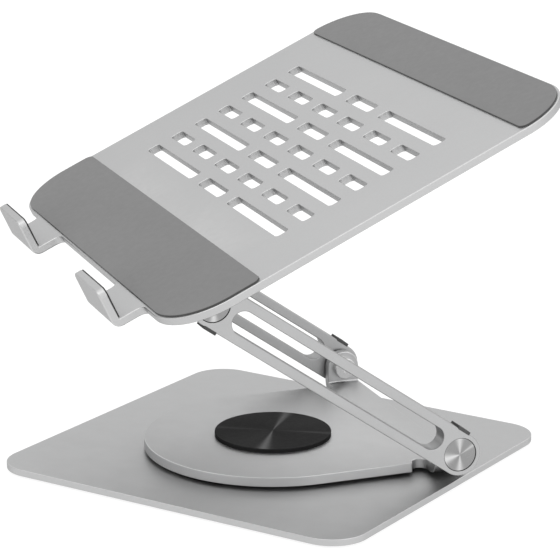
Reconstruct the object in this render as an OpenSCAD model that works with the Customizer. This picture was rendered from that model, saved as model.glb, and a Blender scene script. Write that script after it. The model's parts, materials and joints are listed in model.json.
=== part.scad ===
// Swivelling laptop stand with two slotted arms and a ventilated tray.
// The origin is on the swivel axis at desk level and +Z is up. Both hinge lines run along X,
// the hooks that hold the laptop's front edge face -Y, and +X is the user's right.

/* [Base] */
// Longer side of the base plate
base_len = 210; // [190:1:230]
// Shorter side of the base plate
base_wid = 199.5; // [180:0.5:220]
// Thickness of the base plate
base_t = 3.5; // [3.5:0.5:6]
// Corner radius of the base plate
base_r = 19; // [10:1:35]
// Angle by which the base plate is turned under the turntable
base_turn = 36.5; // [0:0.5:90]
// Thickness of the silicone foot pads
foot_h = 1; // [1:0.5:3]
// Radius of the corner foot pads
foot_r = 10; // [6:1:14]
// Radius of the centre foot pad
centre_foot_r = 28; // [24:1:40]

/* [Swivel] */
// Radius of the turntable's round front
disc_r = 66.3; // [55:0.1:75]
// Thickness of the turntable plate
disc_t = 5; // [5:0.5:6]
// Gap between base plate and turntable, filled by the lower slide washer
swivel_gap = 1.5; // [1:0.5:3]
// Radius of the pivot hub
hub_r = 12; // [10:0.5:14]
// Radius of the black centre cap
cap_r = 30; // [26:1:36]
// Height of the centre cap above the turntable
cap_h = 2.2; // [2:0.1:5]

/* [Hinges] */
// Distance of the lower hinge line behind the swivel axis
hinge_y = 67; // [60:1:75]
// Height of the lower hinge line above the base plate's top
hinge_rise = 14.8; // [14:0.1:20]
// Distance from the mid-plane to the inner face of the ears
ear_in = 69.5; // [68:0.5:72]
// Thickness of the ears
ear_t = 5; // [4:0.5:6]
// Width of the ears, which are round at the hinge line
ear_w = 17.5; // [16:0.5:20]
// Radius of the hinge bolts' bearing length
bolt_r = 4; // [3.5:0.5:4.5]
// Radius of the hinge bolts' pan heads
bolt_head_r = 5.8; // [5:0.1:6.5]
// Height of the hinge bolts' pan heads
bolt_head_h = 3.2; // [2.5:0.1:4]

/* [Arms] */
// Distance between the two hinge lines
arm_len = 156.3; // [130:0.1:180]
// Width of an arm seen from its side
arm_w = 21.6; // [21:0.2:24]
// Thickness of an arm
arm_t = 9.5; // [9.5:0.5:12]
// Width of the long slot in an arm
slot_w = 11.8; // [8:0.2:12]
// Distance from a hinge line to the end of the slot
slot_end = 12.3; // [12:0.1:20]
// Angle of the arms above the desk in the rest pose
arm_angle = 35; // [20:1:60]
// Length of a bumper
bumper_l = 7.2; // [5:0.1:10]
// Distance from a hinge line to its bumper, along the arm
bumper_at = 1.8; // [1:0.1:4]
// Height of a bumper above the arm's edge
bumper_h = 1.2; // [0.8:0.1:1.4]

/* [Tray] */
// Width of the tray
tray_w = 270; // [240:1:300]
// Depth of the tray without its hooks
tray_d = 219.8; // [200:0.1:240]
// Thickness of the tray
tray_t = 4; // [4:0.5:5]
// Corner radius of the tray
tray_r = 30; // [15:1:40]
// Tilt of the tray in the rest pose
tray_tilt = 25; // [0:1:35]
// Distance from the upper hinge line to the tray's front edge, along the tray
tray_reach = 30.8; // [25:0.1:40]
// Depth of the upper hinge line under the tray's top
tray_drop = 19.5; // [19:0.1:25]
// Thickness of the silicone sheets on the tray
pad_t = 1; // [1:0.1:2.5]
// Depth of the front sheet
front_pad_d = 45.5; // [35:0.1:55]
// Depth of the rear sheet
rear_pad_d = 31; // [20:1:40]

/* [Hooks] */
// Width of a hook
hook_w = 40; // [30:1:50]
// Distance from the mid-plane to a hook's centre
hook_x = 69.5; // [50:0.5:80]
// Clear distance from the tray's front edge to a hook's lip
hook_gap = 12.5; // [10:0.1:20]
// Height of a hook's lip above the tray's top
hook_h = 16.5; // [12:0.5:25]

/* [Ventilation slots] */
// Width of each ventilation slot, across the tray's depth
vent_w = 6.8; // [5:0.1:8]
// Distance between rows of slots
vent_pitch = 14.58; // [12:0.01:16]
// Overall width of the slot pattern
vent_span = 196; // [180:1:210]
// Length of the outer slots in a long row
vent_long = 70.6; // [60:0.1:74]
// Length of the middle slot in a long row
vent_mid = 30.6; // [25:0.1:34]
// Length of each slot in a short row
vent_short = 23.1; // [18:0.1:26]

/* [Hidden] */
$fn = 96;
RIGHT = 1;
LEFT = -1;
eps = 0.01;

// Levels, from the desk up
base_z = foot_h;
base_top = base_z + base_t;
disc_z = base_top + swivel_gap;
disc_top = disc_z + disc_t;
hinge_z = base_top + hinge_rise;

// Swivel: a flanged hub held to the base from below, and a ring that keeps the turntable down
flange_r = hub_r + 8;
flange_t = 2;
recess_r = hub_r + 10;
recess_d = 3;
ring_r = recess_r - 1.5;
ring_t = 2;
hub_top = disc_top - recess_d + 0.5;
slide_t = 0.1;
run = 0.06;
fit = 0.03;
screw_r = 1.5;
screw_head_r = 2.8;
screw_head_h = 1.4;
hub_screw_circle = hub_r + 4;
ring_screw_circle = 7;
hub_screw_tip = base_top - 0.2;
ring_screw_tip = base_top - 1;
cap_wall = 3;
cap_roof = 1.6;
cap_lip = 0.75;

// Ears and their bends
ear_r = ear_w / 2;
bend_in = 1;
notch_w = 8.3;
notch_d = 5;
disc_rear = hinge_y + ear_r;

// Stack of a hinge along X, from the ear outwards
ear_out = ear_in + ear_t;
friction_t = 1.1;
arm_in = ear_out + friction_t + slide_t;
arm_out = arm_in + arm_t;
bumper_in = 0.5;
web_t = 3;
thread_r = 3;
spring_t = 1;
nut_t = 2.4;
nut_af = 10;
hex_key_af = 4;
hex_key_d = 1.8;
friction_r = 8.2;
spring_r = 6.2;
nut_well_r = 7.6;
cap_disc_r = 8.45;
cap_disc_t = 2.4;
cap_well_r = 8.6;
cap_well_d = 2.8;
web_out = arm_in + web_t;
nut_end = web_out + slide_t + spring_t + nut_t;

// Tray, whose own plane has y = 0 at its front edge and z = 0 at its top
vent_rows = 7;
vent_r = 2;
vent_centre = 116.2;
pad_margin = 1.2;
pad_inner_r = 4;
hook_bend = 0.5;
hook_corner = 4;
hook_root = 4;
hook_pad_t = 0.6;
hook_pad_inset = 0.2;
hook_lip_y = -hook_gap;

// Brackets under the tray
bracket_t = 4;
bracket_reach = 30;
bracket_w = 32;
tray_screw_r = 2;
tray_screw_head_r = 3.9;
tray_screw_head_h = 2;
tray_screw_spots = [[47, -10], [47, 10], [61, 0]];

// ---------- helpers ----------

// Rectangle with round corners, centred on the origin
module rounded_rect(size, r) {
    square([size.x - 2 * r, size.y], center = true);
    square([size.x, size.y - 2 * r], center = true);
    for (x = [-1, 1], y = [-1, 1])
        translate([x * (size.x / 2 - r), y * (size.y / 2 - r)]) circle(r);
}

// Bar with round ends between x = 0 and x = length, the centres of its ends
module stadium(length, width) {
    translate([0, -width / 2]) square([length, width]);
    circle(width / 2);
    translate([length, 0]) circle(width / 2);
}

// Extrudes a YZ profile along X, from x0 to x1
module along_x(x0, x1) {
    translate([x0, 0, 0]) rotate([90, 0, 90]) linear_extrude(x1 - x0) children();
}

// Cylinder along X, from x0 to x1
module rod_x(r, x0, x1) {
    translate([x0, 0, 0]) rotate([0, 90, 0]) cylinder(r = r, h = x1 - x0);
}

// Flat ring from z0 to z1
module ring(r_out, r_in, z0, z1) {
    translate([0, 0, z0]) difference() {
        cylinder(r = r_out, h = z1 - z0);
        translate([0, 0, -1]) cylinder(r = r_in, h = z1 - z0 + 2);
    }
}

// Countersunk screw with its head's top at the origin and its tip straight below
module countersunk(head_r, head_h, shaft_r, length) {
    translate([0, 0, -head_h]) cylinder(r1 = shaft_r, r2 = head_r, h = head_h);
    translate([0, 0, -length]) cylinder(r = shaft_r, h = length - head_h + eps);
}

// The part's right side as it is, or its left side as a mirror image
module on_side(side) {
    mirror([side == LEFT ? 1 : 0, 0, 0]) children();
}

// Turns the base and what is fixed to it under the turntable
module on_base() {
    rotate(base_turn) children();
}

// Places of the arms: the origin is on the lower hinge line, and the arm runs along -Y
module on_arm() {
    translate([0, hinge_y, hinge_z]) rotate([-arm_angle, 0, 0]) children();
}

// Place of the upper hinge line
module on_upper_hinge() {
    on_arm() translate([0, -arm_len, 0]) rotate([arm_angle + tray_tilt, 0, 0]) children();
}

// Place of the tray: y = 0 at its front edge and z = 0 at its top
module on_tray() {
    on_upper_hinge() translate([0, -tray_reach, tray_drop]) children();
}

// ---------- base ----------

module base_plate() {
    color([0.70, 0.70, 0.71]) on_base() difference() {
        translate([0, 0, base_z]) linear_extrude(base_t) rounded_rect([base_len, base_wid], base_r);
        translate([0, 0, base_z - 1]) cylinder(r = hub_r + fit, h = base_t + 2);
        translate([0, 0, base_z - 1]) cylinder(r = flange_r + 0.1, h = flange_t + 1);
        at_hub_screws() translate([0, 0, base_z]) cylinder(r = screw_r + fit, h = base_t + 1);
    }
}

module at_hub_screws() {
    for (turn = [45:90:315]) rotate(turn) translate([hub_screw_circle, 0, 0]) children();
}

module foot_pad(corner) {
    x = corner[0] * (base_len / 2 - 17);
    y = corner[1] * (base_wid / 2 - 17);
    color([0.25, 0.25, 0.26]) on_base() translate([x, y, 0]) cylinder(r = foot_r, h = foot_h);
}

module centre_foot_pad() {
    color([0.25, 0.25, 0.26]) cylinder(r = centre_foot_r, h = foot_h);
}

module pivot_hub() {
    color([0.6, 0.6, 0.62]) on_base() difference() {
        union() {
            translate([0, 0, base_z]) cylinder(r = flange_r, h = flange_t);
            translate([0, 0, base_z]) cylinder(r = hub_r, h = hub_top - base_z);
        }
        at_hub_screws() translate([0, 0, base_z]) mirror([0, 0, 1])
            countersunk(screw_head_r + fit, screw_head_h, screw_r + fit, flange_t + 1);
        at_ring_screws() translate([0, 0, ring_screw_tip - 0.5])
            cylinder(r = screw_r + fit, h = hub_top - ring_screw_tip + 1);
    }
}

module hub_screws() {
    color([0.3, 0.3, 0.32]) on_base() at_hub_screws() translate([0, 0, base_z]) mirror([0, 0, 1])
        countersunk(screw_head_r, screw_head_h, screw_r, hub_screw_tip - base_z);
}

module lower_slide_washer() {
    color([0.9, 0.9, 0.88]) ring(38, hub_r + 0.2, base_top, disc_z - slide_t);
}

module upper_slide_washer() {
    color([0.9, 0.9, 0.88]) ring(ring_r, hub_r + 0.2, disc_top - recess_d + slide_t, hub_top);
}

module retainer_ring() {
    color([0.55, 0.55, 0.57]) on_base() difference() {
        translate([0, 0, hub_top]) cylinder(r = ring_r, h = ring_t);
        at_ring_screws() translate([0, 0, hub_top + ring_t])
            countersunk(screw_head_r + fit, screw_head_h, screw_r + fit, ring_t + 1);
    }
}

module at_ring_screws() {
    for (turn = [0:120:240]) rotate(turn) translate([ring_screw_circle, 0, 0]) children();
}

module retainer_screws() {
    color([0.3, 0.3, 0.32]) on_base() at_ring_screws() translate([0, 0, hub_top + ring_t])
        countersunk(screw_head_r, screw_head_h, screw_r, hub_top + ring_t - ring_screw_tip);
}

// ---------- turntable ----------

// Outline of the turntable: a round front, straight sides and relief notches before the ears
module turntable_outline() {
    difference() {
        union() {
            circle(disc_r, $fn = 180);
            translate([-disc_r, 0]) square([2 * disc_r, disc_rear]);
        }
        for (side = [LEFT, RIGHT]) mirror([side == LEFT ? 1 : 0, 0])
            translate([disc_r - notch_d + notch_w / 2, hinge_y - ear_r - notch_w / 2]) {
                circle(notch_w / 2);
                translate([0, -notch_w / 2]) square([notch_d + 20, notch_w]);
            }
    }
}

// Bracket ear in the YZ plane, round at the hinge line and cut off at z = foot
module ear_outline(foot) {
    translate([-ear_r, min(foot, 0)]) square([ear_w, abs(foot)]);
    circle(ear_r);
}

// Quarter bend of a sheet of thickness t, in the XZ plane, from the floor up to the wall
module bend_outline(t) {
    intersection() {
        difference() {
            circle(bend_in + t);
            circle(bend_in);
        }
        translate([0, -bend_in - t]) square(bend_in + t);
    }
}

module turntable_ear() {
    bend_x = ear_out - bend_in - disc_t;
    bend_z = disc_top + bend_in;
    translate([0, hinge_y, 0]) {
        translate([disc_r - 10, -ear_r, disc_z]) cube([bend_x - disc_r + 10, ear_w, disc_t]);
        translate([bend_x, ear_r, bend_z]) rotate([90, 0, 0]) linear_extrude(ear_w)
            bend_outline(disc_t);
        translate([0, 0, hinge_z]) along_x(ear_in, ear_out) ear_outline(bend_z - hinge_z);
    }
}

module turntable() {
    color([0.72, 0.72, 0.73]) difference() {
        union() {
            translate([0, 0, disc_z]) linear_extrude(disc_t) turntable_outline();
            for (side = [LEFT, RIGHT]) on_side(side) turntable_ear();
        }
        translate([0, 0, disc_z - 1]) cylinder(r = hub_r + run, h = disc_t + 2);
        translate([0, 0, disc_top - recess_d]) cylinder(r = recess_r, h = recess_d + 1);
        for (side = [LEFT, RIGHT]) on_side(side) translate([0, hinge_y, hinge_z])
            rod_x(bolt_r + fit, ear_in - 1, ear_out + 1);
    }
}

module centre_cap() {
    color([0.1, 0.1, 0.1]) {
        difference() {
            union() {
                translate([0, 0, disc_top]) cylinder(r = cap_r, h = cap_h - 0.5);
                translate([0, 0, disc_top + cap_h - 0.5]) cylinder(r1 = cap_r, r2 = cap_r - 0.5, h = 0.5);
            }
            translate([0, 0, disc_top - 1]) cylinder(r = cap_r - cap_wall, h = cap_h - cap_roof + 1);
        }
        ring(recess_r - 0.05, recess_r - cap_lip, disc_top - 1.5, disc_top + cap_h - cap_roof);
    }
}

// ---------- hinge hardware, around a hinge line that runs along X ----------

module hinge_bolt() {
    thread_x = web_out + slide_t / 2;
    difference() {
        union() {
            rod_x(bolt_head_r, ear_in - bolt_head_h, ear_in);
            rod_x(bolt_r, ear_in - eps, thread_x);
            rod_x(thread_r, thread_x - eps, nut_end + 0.1);
        }
        translate([ear_in - bolt_head_h - 1, 0, 0]) rotate([0, 90, 0])
            cylinder(r = hex_key_af / sqrt(3), h = hex_key_d + 1, $fn = 6);
    }
}

module hinge_bolts() {
    color([0.78, 0.78, 0.8]) for (side = [LEFT, RIGHT]) on_side(side) hinge_bolt();
}

module friction_washers() {
    color([0.12, 0.12, 0.13]) for (side = [LEFT, RIGHT]) on_side(side) difference() {
        rod_x(friction_r, ear_out, ear_out + friction_t);
        rod_x(bolt_r + fit, ear_out - 1, ear_out + friction_t + 1);
    }
}

module spring_washers() {
    start = web_out + slide_t;
    color([0.5, 0.5, 0.52]) for (side = [LEFT, RIGHT]) on_side(side) difference() {
        rod_x(spring_r, start, start + spring_t);
        rod_x(thread_r + fit, start - 1, start + spring_t + 1);
    }
}

module lock_nuts() {
    color([0.6, 0.6, 0.62]) for (side = [LEFT, RIGHT]) on_side(side) difference() {
        translate([nut_end - nut_t, 0, 0]) rotate([0, 90, 0])
            cylinder(r = nut_af / sqrt(3), h = nut_t, $fn = 6);
        rod_x(thread_r + fit, nut_end - nut_t - 1, nut_end + 1);
    }
}

module at_lower_hinge() {
    translate([0, hinge_y, hinge_z]) children();
}

// ---------- arms ----------

module arm(side) {
    slot_start = slot_end + slot_w / 2;
    color([0.76, 0.76, 0.77]) on_side(side) on_arm() difference() {
        along_x(arm_in, arm_out) mirror([1, 0]) difference() {
            stadium(arm_len, arm_w);
            translate([slot_start, 0]) stadium(arm_len - 2 * slot_start, slot_w);
            lower_bumper_outline();
            upper_bumper_outline();
        }
        for (y = [0, -arm_len]) translate([0, y, 0]) {
            rod_x(bolt_r + run, arm_in - 1, arm_out + 1);
            rod_x(nut_well_r, web_out, arm_out + 1);
            rod_x(cap_well_r, arm_out - cap_well_d, arm_out + 1);
        }
    }
}

// Disc that closes a hinge on the arm's outer face, at y = 0 or y = -arm_len
module hinge_cap(side, y) {
    floor_x = arm_out - cap_well_d;
    color([0.82, 0.82, 0.83]) on_side(side) on_arm() translate([0, y, 0]) {
        rod_x(cap_disc_r, floor_x, floor_x + cap_disc_t - 0.3);
        translate([floor_x + cap_disc_t - 0.3, 0, 0]) rotate([0, 90, 0])
            cylinder(r1 = cap_disc_r, r2 = cap_disc_r - 0.3, h = 0.3);
    }
}

// Outline of the lower bumper, let into the arm's top edge, with the arm's length along x
module lower_bumper_outline() {
    translate([bumper_at, arm_w / 2 - bumper_in]) square([bumper_l, bumper_in + bumper_h]);
}

// Outline of the upper bumper, let into the arm's bottom edge
module upper_bumper_outline() {
    translate([arm_len - bumper_at - bumper_l, -arm_w / 2 - bumper_h])
        square([bumper_l, bumper_in + bumper_h]);
}

// Bumper as thick as the arm, from its outline
module bumper(side) {
    color([0.15, 0.15, 0.15]) on_side(side) on_arm()
        along_x(arm_in, arm_out) mirror([1, 0]) children();
}

// ---------- tray ----------

// Row of equal slots at the given centres
module vent_row(centres, length) {
    for (x = centres) translate([x, 0]) rounded_rect([length, vent_w], vent_r);
}

module vents() {
    long_x = (vent_span - vent_long) / 2;
    short_pitch = (vent_span - vent_short) / 5;
    for (row = [0:vent_rows - 1]) translate([0, vent_centre + (row - (vent_rows - 1) / 2) * vent_pitch])
        if (row % 2 == 0) {
            vent_row([-long_x, long_x], vent_long);
            vent_row([0], vent_mid);
        } else {
            vent_row([for (i = [-2.5:2.5]) i * short_pitch], vent_short);
        }
}

// Tongue of a hook with round inner corners at its root
module hook_tongue() {
    translate([-hook_w / 2, hook_lip_y + hook_bend]) square([hook_w, hook_gap - hook_bend + 1]);
    for (x = [-1, 1]) translate([x * hook_w / 2, 0]) mirror([x < 0 ? 1 : 0, 0]) difference() {
        translate([-eps, -hook_root]) square([hook_root + eps, hook_root + eps]);
        translate([hook_root, -hook_root]) circle(hook_root);
    }
}

// Bend and lip of a hook, from the tongue's end up
module hook_lip() {
    translate([0, hook_lip_y + hook_bend, hook_bend]) along_x(-hook_w / 2, hook_w / 2)
        intersection() {
            difference() {
                circle(hook_bend + tray_t);
                circle(hook_bend);
            }
            translate([-hook_bend - tray_t, -hook_bend - tray_t]) square(hook_bend + tray_t);
        }
    translate([0, hook_lip_y, 0]) rotate([90, 0, 0]) linear_extrude(tray_t)
        lip_outline(hook_w, hook_bend - eps, hook_h, hook_corner);
}

// Lip outline in the XZ plane with round top corners
module lip_outline(width, low, high, r) {
    translate([-width / 2, low]) square([width, high - low - r]);
    translate([-width / 2 + r, low]) square([width - 2 * r, high - low]);
    for (x = [-1, 1]) translate([x * (width / 2 - r), high - r]) circle(r);
}

module at_tray_screws() {
    for (spot = tray_screw_spots) translate([spot[0], tray_reach + spot[1], 0]) children();
}

module tray() {
    color([0.78, 0.78, 0.79]) on_tray() difference() {
        union() {
            translate([0, 0, -tray_t]) linear_extrude(tray_t) difference() {
                union() {
                    translate([0, tray_d / 2]) rounded_rect([tray_w, tray_d], tray_r);
                    for (x = [-hook_x, hook_x]) translate([x, 0]) hook_tongue();
                }
                vents();
            }
            for (x = [-hook_x, hook_x]) translate([x, 0, 0]) hook_lip();
        }
        for (side = [LEFT, RIGHT]) on_side(side) at_tray_screws()
            countersunk(tray_screw_head_r + fit, tray_screw_head_h, tray_screw_r + 0.2, tray_t + 1);
    }
}

// Sheet that follows the tray's outline between y0 and y1
module pad_sheet(y0, y1, overhang) {
    color([0.45, 0.45, 0.45]) on_tray() linear_extrude(pad_t) intersection() {
        translate([0, tray_d / 2])
            rounded_rect([tray_w - 2 * pad_margin, tray_d - 2 * pad_margin], tray_r - pad_margin);
        translate([0, (y0 + y1) / 2]) rounded_rect([tray_w - 2 * pad_margin, y1 - y0], overhang);
    }
}

module front_pad() {
    pad_sheet(-20, pad_margin + front_pad_d, pad_inner_r);
}

module rear_pad() {
    pad_sheet(tray_d - pad_margin - rear_pad_d, tray_d + 20, pad_inner_r);
}

module hook_pad(side) {
    color([0.2, 0.2, 0.2]) on_tray() translate([side * hook_x, hook_lip_y + hook_pad_t, 0])
        rotate([90, 0, 0]) linear_extrude(hook_pad_t)
            lip_outline(hook_w - 2 * hook_pad_inset, hook_bend, hook_h - hook_pad_inset,
                        hook_corner - hook_pad_inset);
}

// L-shaped bracket under the tray: a flange that the screws hold, a bend and a round ear
module bracket(side) {
    bend_x = ear_out - bend_in - bracket_t;
    bend_z = -tray_t - bracket_t - bend_in;
    color([0.74, 0.74, 0.75]) on_side(side) difference() {
        union() {
            on_tray() translate([0, tray_reach, 0]) {
                translate([ear_in - bracket_reach, -bracket_w / 2, -tray_t - bracket_t])
                    cube([bend_x - ear_in + bracket_reach - 4, bracket_w, bracket_t]);
                translate([bend_x - 5, -ear_r, -tray_t - bracket_t]) cube([5, ear_w, bracket_t]);
                translate([bend_x, ear_r, bend_z]) rotate([90, 0, 0]) linear_extrude(ear_w)
                    mirror([0, 1]) bend_outline(bracket_t);
                translate([0, 0, -tray_drop]) along_x(ear_out - bracket_t, ear_out)
                    ear_outline(bend_z + tray_drop);
            }
            on_upper_hinge() rod_x(ear_r, ear_in, ear_out);
        }
        on_upper_hinge() rod_x(bolt_r + fit, ear_in - 1, ear_out + 1);
        on_tray() at_tray_screws() translate([0, 0, -tray_t - bracket_t - 1])
            cylinder(r = tray_screw_r + fit, h = bracket_t + 2);
    }
}

module bracket_screws() {
    color([0.3, 0.3, 0.32]) on_tray() for (side = [LEFT, RIGHT]) on_side(side) at_tray_screws()
        countersunk(tray_screw_head_r, tray_screw_head_h, tray_screw_r, tray_t + bracket_t);
}

// ---------- the assembly ----------

// Corners of the base plate, as signs of x and y
CORNERS = [[1, 1], [-1, 1], [-1, -1], [1, -1]];

base_plate();
for (i = [0:3]) foot_pad(CORNERS[i]);
centre_foot_pad();
pivot_hub();
hub_screws();
lower_slide_washer();
upper_slide_washer();
retainer_ring();
retainer_screws();

turntable();
centre_cap();
at_lower_hinge() hinge_bolts();  // lower_hinge_bolts
at_lower_hinge() friction_washers();  // lower_friction_washers
at_lower_hinge() spring_washers();  // lower_spring_washers
at_lower_hinge() lock_nuts();  // lower_lock_nuts

arm(RIGHT);  // right_arm
arm(LEFT);  // left_arm
hinge_cap(RIGHT, 0);  // lower_right_cap
hinge_cap(LEFT, 0);  // lower_left_cap
hinge_cap(RIGHT, -arm_len);  // upper_right_cap
hinge_cap(LEFT, -arm_len);  // upper_left_cap
bumper(RIGHT) lower_bumper_outline();  // lower_right_bumper
bumper(LEFT) lower_bumper_outline();  // lower_left_bumper
bumper(RIGHT) upper_bumper_outline();  // upper_right_bumper
bumper(LEFT) upper_bumper_outline();  // upper_left_bumper

tray();
front_pad();
rear_pad();
hook_pad(RIGHT);  // right_hook_pad
hook_pad(LEFT);  // left_hook_pad
bracket(RIGHT);  // right_bracket
bracket(LEFT);  // left_bracket
bracket_screws();
on_upper_hinge() hinge_bolts();  // upper_hinge_bolts
on_upper_hinge() friction_washers();  // upper_friction_washers
on_upper_hinge() spring_washers();  // upper_spring_washers
on_upper_hinge() lock_nuts();  // upper_lock_nuts
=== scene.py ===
"""Looks of the laptop stand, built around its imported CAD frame.

Each visible piece is built as a shell in millimetres: closed outlines with rounded edges, bent where the
sheet is bent, with true normals. The sizes repeat those of the CAD model, or are read from its frame.
"""

import json
import math

import bpy
from mathutils import Matrix, Vector
from mathutils.geometry import delaunay_2d_cdt


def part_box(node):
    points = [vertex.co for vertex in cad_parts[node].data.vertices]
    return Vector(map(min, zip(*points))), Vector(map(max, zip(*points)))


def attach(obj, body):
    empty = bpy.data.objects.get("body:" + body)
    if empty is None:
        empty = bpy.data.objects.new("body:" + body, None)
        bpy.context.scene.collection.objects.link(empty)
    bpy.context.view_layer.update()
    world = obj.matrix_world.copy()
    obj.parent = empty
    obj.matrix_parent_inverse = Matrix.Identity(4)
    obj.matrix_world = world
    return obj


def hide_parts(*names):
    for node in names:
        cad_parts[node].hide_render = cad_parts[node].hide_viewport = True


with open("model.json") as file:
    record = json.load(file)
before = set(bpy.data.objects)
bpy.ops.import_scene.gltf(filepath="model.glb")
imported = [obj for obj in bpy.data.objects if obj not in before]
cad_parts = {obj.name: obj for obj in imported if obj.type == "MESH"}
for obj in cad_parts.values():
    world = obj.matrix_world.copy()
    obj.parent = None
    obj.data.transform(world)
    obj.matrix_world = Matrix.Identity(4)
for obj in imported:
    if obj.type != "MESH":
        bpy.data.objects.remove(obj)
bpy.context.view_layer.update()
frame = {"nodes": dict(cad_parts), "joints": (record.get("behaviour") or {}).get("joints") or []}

MM = 0.001
RIGHT, LEFT = 1, -1
QUARTER = math.pi / 2
CHORD_ERROR, SMALLEST_R = 0.01, 0.1
SAME_POINT, SAME_STATION, SHORTEST_SPAN, LID_TOLERANCE = 1e-4, 1e-5, 1e-6, 1e-7
BEND_STEPS = 8

# ---------- sizes, in millimetres ----------


def low_high(node):
    """Lowest and highest corner of a CAD node, in millimetres."""
    low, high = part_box(node)
    return low / MM, high / MM


JOINTS = {joint["name"]: joint for joint in frame["joints"]}
LOWER_HINGE = Vector(JOINTS["arm_lift"]["pos_m"]) / MM
UPPER_HINGE = Vector(JOINTS["tray_tilt"]["pos_m"]) / MM

# Base plate
BASE_LEN, BASE_WID, BASE_R = 210, 199.5, 19
BASE_TURN = math.radians(36.5)
BASE_Z, BASE_TOP = low_high("base_plate")[0].z, low_high("base_plate")[1].z
BASE_EDGE_LOW, BASE_EDGE_HIGH = 0.5, 0.4
FOOT_EDGE = 0.4
FLANGE_R, FLANGE_T, HUB_BORE_R = 20.1, 2, 12.03

# Turntable
DISC_Z = low_high("turntable")[0].z
DISC_R, DISC_T = 66.3, 5
DISC_TOP = DISC_Z + DISC_T
DISC_EDGE = 0.4
DISC_BORE_R, RECESS_R, RECESS_D = 12.06, 22, 3
EAR_IN, EAR_T, EAR_W = 69.5, 5, 17.5
EAR_OUT = EAR_IN + EAR_T
EAR_HOLE_R = 4.03
NOTCH_W, NOTCH_D, NOTCH_MOUTH_R = 8.3, 5, 1
BEND_IN = 1

# Centre cap
CAP_R = low_high("centre_cap")[1].x
CAP_TOP = low_high("centre_cap")[1].z
CAP_ROOF, CAP_WALL, CAP_EDGE = 1.6, 3, 0.35
CAP_LIP_R, CAP_LIP_T, CAP_LIP_D = 21.95, 0.7, 1.5

# Arms
ARM_IN, ARM_OUT = low_high("right_arm")[0].x, low_high("right_arm")[1].x
ARM_LEN = (UPPER_HINGE - LOWER_HINGE).length
ARM_TILT = math.atan2(UPPER_HINGE.z - LOWER_HINGE.z, LOWER_HINGE.y - UPPER_HINGE.y)
ARM_R, SLOT_W, SLOT_END = 10.8, 11.8, 12.3
ARM_EDGE, SLOT_EDGE = 0.45, 0.5
WEB_T, ARM_BORE_R, NUT_WELL_R = 3, 4.06, 7.6
CAP_WELL_R, CAP_WELL_D, CAP_WELL_EDGE = 8.6, 2.8, 0.2
HINGE_CAP_R, HINGE_CAP_T, HINGE_CAP_EDGE = 8.45, 2.4, 0.25
BUMPER_L, BUMPER_AT, BUMPER_H, BUMPER_IN = 7.2, 1.8, 1.2, 0.5
BUMPER_CORNER, BUMPER_EDGE, BUMPER_PROUD = 0.12, 0.06, 0.02

# Tray
TRAY_W, TRAY_D, TRAY_T, TRAY_R = 270, 219.8, 4, 30
TRAY_TILT = math.radians(25)
TRAY_REACH, TRAY_DROP = 30.8, 19.5
TRAY_EDGE_LOW, TRAY_EDGE_HIGH = 0.85, 0.5
HOOK_W, HOOK_X, HOOK_GAP, HOOK_H = 40, 69.5, 12.5, 16.5
HOOK_BEND, HOOK_CORNER, HOOK_ROOT = 0.5, 4, 4
HOOK_PAD_T, HOOK_PAD_INSET = 0.6, 0.2
HOOK_PAD_CORNER, HOOK_PAD_EDGE = 0.5, 0.15
VENT_W, VENT_R, VENT_PITCH, VENT_SPAN, VENT_CENTRE = 6.8, 2, 14.58, 196, 116.2
VENT_LONG, VENT_MID, VENT_SHORT, VENT_ROWS = 70.6, 30.6, 23.1, 7
VENT_EDGE, SHORT_VENTS = 0.35, 6
SCREW_SPOTS = [(47, -10), (47, 10), (61, 0)]
SCREW_HEAD_R, SCREW_HEAD_H, SCREW_HOLE_R = 3.93, 2, 2.2
PAD_T, PAD_MARGIN, FRONT_PAD_D, REAR_PAD_D, PAD_CORNER = 1, 1.2, 45.5, 31, 4
PAD_EDGE = 0.3

# Hinge bolts and washers
BOLT_R, BOLT_HEAD_R, BOLT_HEAD_H, THREAD_R = 4, 5.8, 3.2, 3
BOLT_HEAD_EDGE_LOW, BOLT_HEAD_EDGE_HIGH = 0.2, 0.6
THREAD_CHAMFER, SHAFT_IN_HEAD = 0.4, 0.5
HEX_KEY, HEX_DEPTH, HEX_CORNER, HEX_EDGE = 4, 1.8, 0.1, 0.15
FRICTION_R, FRICTION_T, FRICTION_EDGE = 8.2, 1.1, 0.2

# Edges of the CAD nodes that show as they are
BRACKET_BEVEL, SMALL_BEVEL, SHARPEST_LEFT = 0.4, 0.12, math.radians(40)

# ---------- looks and light ----------

BLASTED_ROUGH, METAL_TINT = 0.42, 0.6
GROOVE_PITCH = 0.35
CAMERA_AZIMUTH, CAMERA_ELEVATION = math.radians(69.48), math.radians(15.44)
CAMERA_PLACE, CAMERA_LENS = (1.20397, -0.44674, 0.44798), 169.04
FLOOR_REACH, FLOOR_TONE, FLOOR_GLOW = 15, 0.2, 0.85
SKY_LOW, SKY_HIGH, SKY_BETWEEN = 0.57, 0.93, ((0.26, 0.7), (0.42, 0.85))
SKY_FRONT, SKY_BACK, SKY_FRONT_END = 1.1, 1.5, 0.2

# ---------- outlines: lists of (point, outward normal), with the material on the left ----------


def arc(x, y, r, start, turn):
    """Points on a circle round (x, y) from the angle start. A negative turn makes a hollow corner."""
    steps = max(2, math.ceil(abs(turn) / (2 * math.acos(1 - CHORD_ERROR / max(r, SMALLEST_R)))))
    way = 1 if turn > 0 else -1
    points = []
    for i in range(steps + 1):
        angle = start + turn * i / steps
        normal = Vector((math.cos(angle), math.sin(angle)))
        points.append((Vector((x, y)) + way * r * normal, normal))
    return points


def tidy(points):
    """The closed outline without repeated points."""
    return [here for here, before in zip(points, points[-1:] + points[:-1])
            if (here[0] - before[0]).length > SAME_POINT]


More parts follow.
